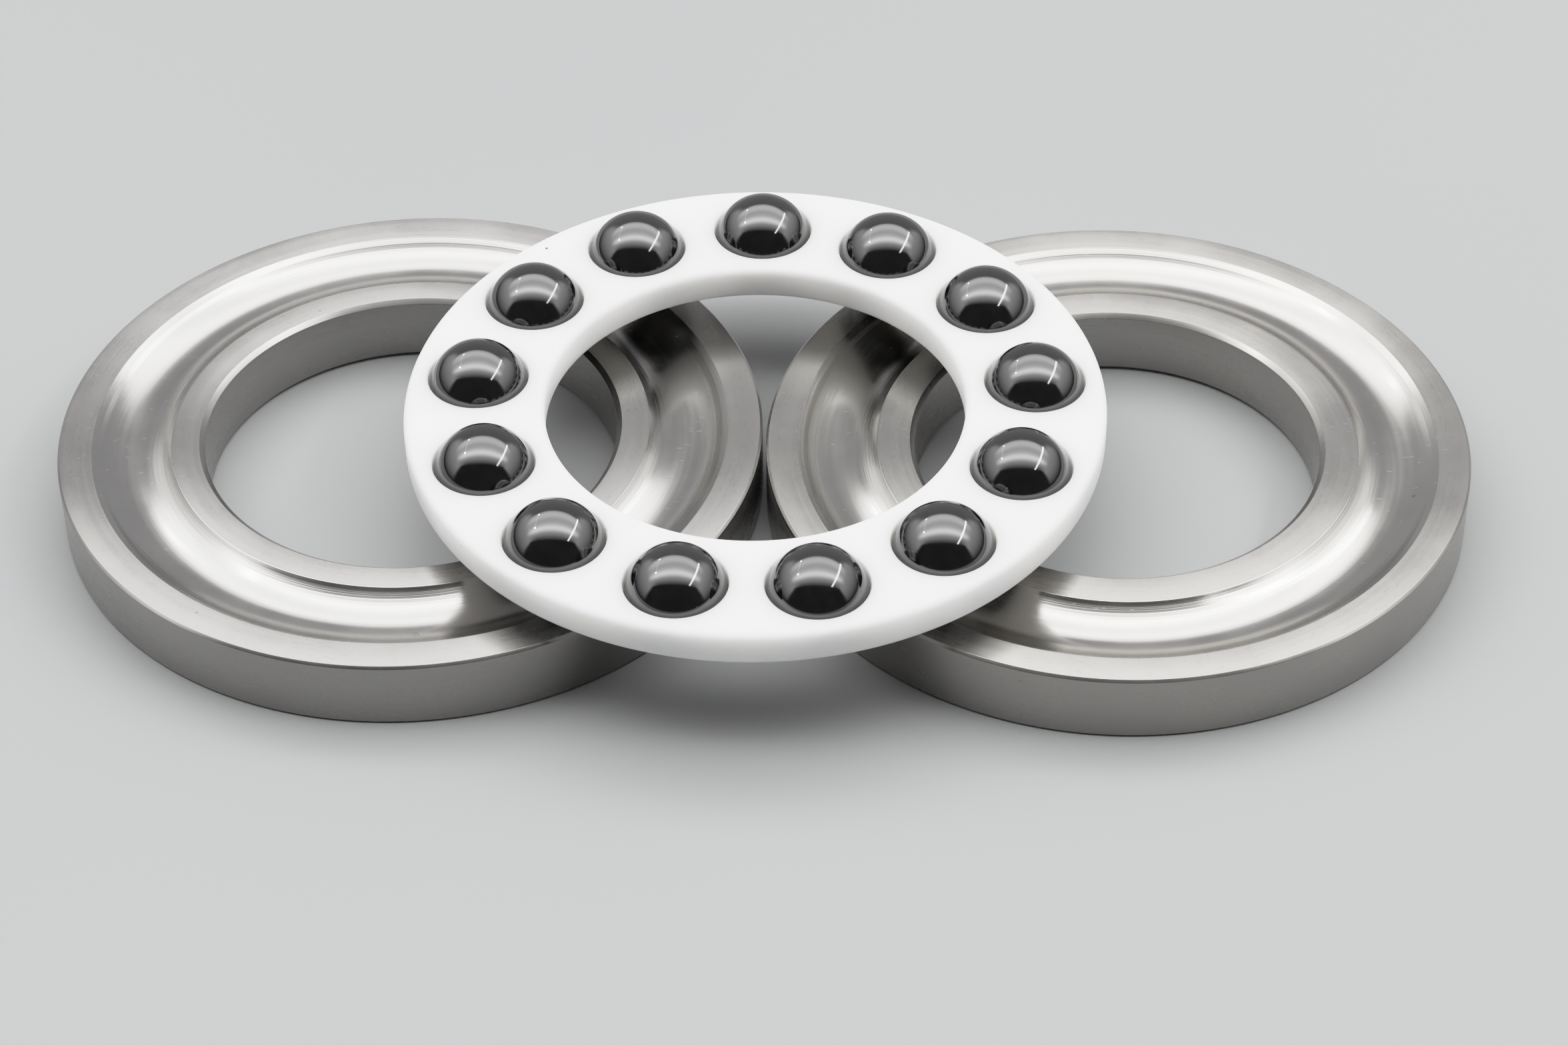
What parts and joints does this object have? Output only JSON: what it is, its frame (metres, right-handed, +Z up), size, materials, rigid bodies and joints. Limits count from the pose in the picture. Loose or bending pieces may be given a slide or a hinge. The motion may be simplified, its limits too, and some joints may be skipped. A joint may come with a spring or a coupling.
{
  "type": "thrust ball bearing",
  "caption": "Single-direction thrust ball bearing laid open: two grooved steel washers side by side, with a white cage of black ceramic balls lying across them.",
  "frame": {"origin": "on the plane of the two seat faces, at the middle of the whole footprint", "axes": "+Z up from the seat faces, +X from the housing washer to the shaft washer, +Y away from the viewer"},
  "size_m": [0.2798, 0.1436, 0.0341],
  "materials": {
    "housing_steel": "ground and turned, bright",
    "shaft_steel": "ground and turned, bright",
    "white_ptfe": "machined, satin, slightly waxy",
    "black_ceramic": "lapped mirror black"
  },
  "bodies": {
    "housing_washer": {"housing_washer": "housing_steel"},
    "shaft_washer": {"shaft_washer": "shaft_steel"},
    "cage": {"cage": "white_ptfe"},
    "ball_01": {"ball_01": "black_ceramic"},
    "ball_02": {"ball_02": "black_ceramic"},
    "ball_03": {"ball_03": "black_ceramic"},
    "ball_04": {"ball_04": "black_ceramic"},
    "ball_05": {"ball_05": "black_ceramic"},
    "ball_06": {"ball_06": "black_ceramic"},
    "ball_07": {"ball_07": "black_ceramic"},
    "ball_08": {"ball_08": "black_ceramic"},
    "ball_09": {"ball_09": "black_ceramic"},
    "ball_10": {"ball_10": "black_ceramic"},
    "ball_11": {"ball_11": "black_ceramic"},
    "ball_12": {"ball_12": "black_ceramic"},
    "ball_13": {"ball_13": "black_ceramic"}
  },
  "joints": [
    {"name": "shaft_washer_spin", "type": "hinge", "parent": "housing_washer", "child": "shaft_washer", "pos_m": [0.0704, 0.0018, 0], "axis": [0, 0, -1], "continuous": true},
    {"name": "cage_spin", "type": "hinge", "parent": "housing_washer", "child": "cage", "pos_m": [-0.0009, -0.0031, 0.02435], "axis": [0, 0, 1], "continuous": true},
    {"name": "ball_01_spin", "type": "hinge", "parent": "cage", "child": "ball_01", "pos_m": [-0.05219, -0.02351, 0.02435], "axis": [-0.9291, -0.3697, 0], "continuous": true},
    {"name": "ball_02_spin", "type": "hinge", "parent": "cage", "child": "ball_02", "pos_m": [-0.03683, -0.04501, 0.02435], "axis": [-0.6509, -0.7592, 0], "continuous": true},
    {"name": "ball_03_spin", "type": "hinge", "parent": "cage", "child": "ball_03", "pos_m": [-0.01324, -0.0569, 0.02435], "axis": [-0.2235, -0.9747, 0], "continuous": true},
    {"name": "ball_04_spin", "type": "hinge", "parent": "cage", "child": "ball_04", "pos_m": [0.01318, -0.05647, 0.02435], "axis": [0.2551, -0.9669, 0], "continuous": true},
    {"name": "ball_05_spin", "type": "hinge", "parent": "cage", "child": "ball_05", "pos_m": [0.03637, -0.04382, 0.02435], "axis": [0.6752, -0.7376, 0], "continuous": true},
    {"name": "ball_06_spin", "type": "hinge", "parent": "cage", "child": "ball_06", "pos_m": [0.05102, -0.02183, 0.02435], "axis": [0.9407, -0.3394, 0], "continuous": true},
    {"name": "ball_07_spin", "type": "hinge", "parent": "cage", "child": "ball_07", "pos_m": [0.05378, 0.00444, 0.02435], "axis": [0.9906, 0.1366, 0], "continuous": true},
    {"name": "ball_08_spin", "type": "hinge", "parent": "cage", "child": "ball_08", "pos_m": [0.04401, 0.02899, 0.02435], "axis": [0.8136, 0.5814, 0], "continuous": true},
    {"name": "ball_09_spin", "type": "hinge", "parent": "cage", "child": "ball_09", "pos_m": [0.02396, 0.04619, 0.02435], "axis": [0.4503, 0.8929, 0], "continuous": true},
    {"name": "ball_10_spin", "type": "hinge", "parent": "cage", "child": "ball_10", "pos_m": [-0.0018, 0.05209, 0.02435], "axis": [-0.0162, 0.9999, 0], "continuous": true},
    {"name": "ball_11_spin", "type": "hinge", "parent": "cage", "child": "ball_11", "pos_m": [-0.02734, 0.04535, 0.02435], "axis": [-0.479, 0.8778, 0], "continuous": true},
    {"name": "ball_12_spin", "type": "hinge", "parent": "cage", "child": "ball_12", "pos_m": [-0.04683, 0.02752, 0.02435], "axis": [-0.8321, 0.5546, 0], "continuous": true},
    {"name": "ball_13_spin", "type": "hinge", "parent": "cage", "child": "ball_13", "pos_m": [-0.0558, 0.00266, 0.02435], "axis": [-0.9945, 0.1044, 0], "continuous": true}
  ],
  "couplings": [
    {"joint": "cage_spin", "follows": "shaft_washer_spin", "ratio": 0.5},
    {"joint": "ball_01_spin", "follows": "shaft_washer_spin", "ratio": -2.8308},
    {"joint": "ball_02_spin", "follows": "shaft_washer_spin", "ratio": -2.8308},
    {"joint": "ball_03_spin", "follows": "shaft_washer_spin", "ratio": -2.8308},
    {"joint": "ball_04_spin", "follows": "shaft_washer_spin", "ratio": -2.8308},
    {"joint": "ball_05_spin", "follows": "shaft_washer_spin", "ratio": -2.8308},
    {"joint": "ball_06_spin", "follows": "shaft_washer_spin", "ratio": -2.8308},
    {"joint": "ball_07_spin", "follows": "shaft_washer_spin", "ratio": -2.8308},
    {"joint": "ball_08_spin", "follows": "shaft_washer_spin", "ratio": -2.8308},
    {"joint": "ball_09_spin", "follows": "shaft_washer_spin", "ratio": -2.8308},
    {"joint": "ball_10_spin", "follows": "shaft_washer_spin", "ratio": -2.8308},
    {"joint": "ball_11_spin", "follows": "shaft_washer_spin", "ratio": -2.8308},
    {"joint": "ball_12_spin", "follows": "shaft_washer_spin", "ratio": -2.8308},
    {"joint": "ball_13_spin", "follows": "shaft_washer_spin", "ratio": -2.8308}
  ]
}
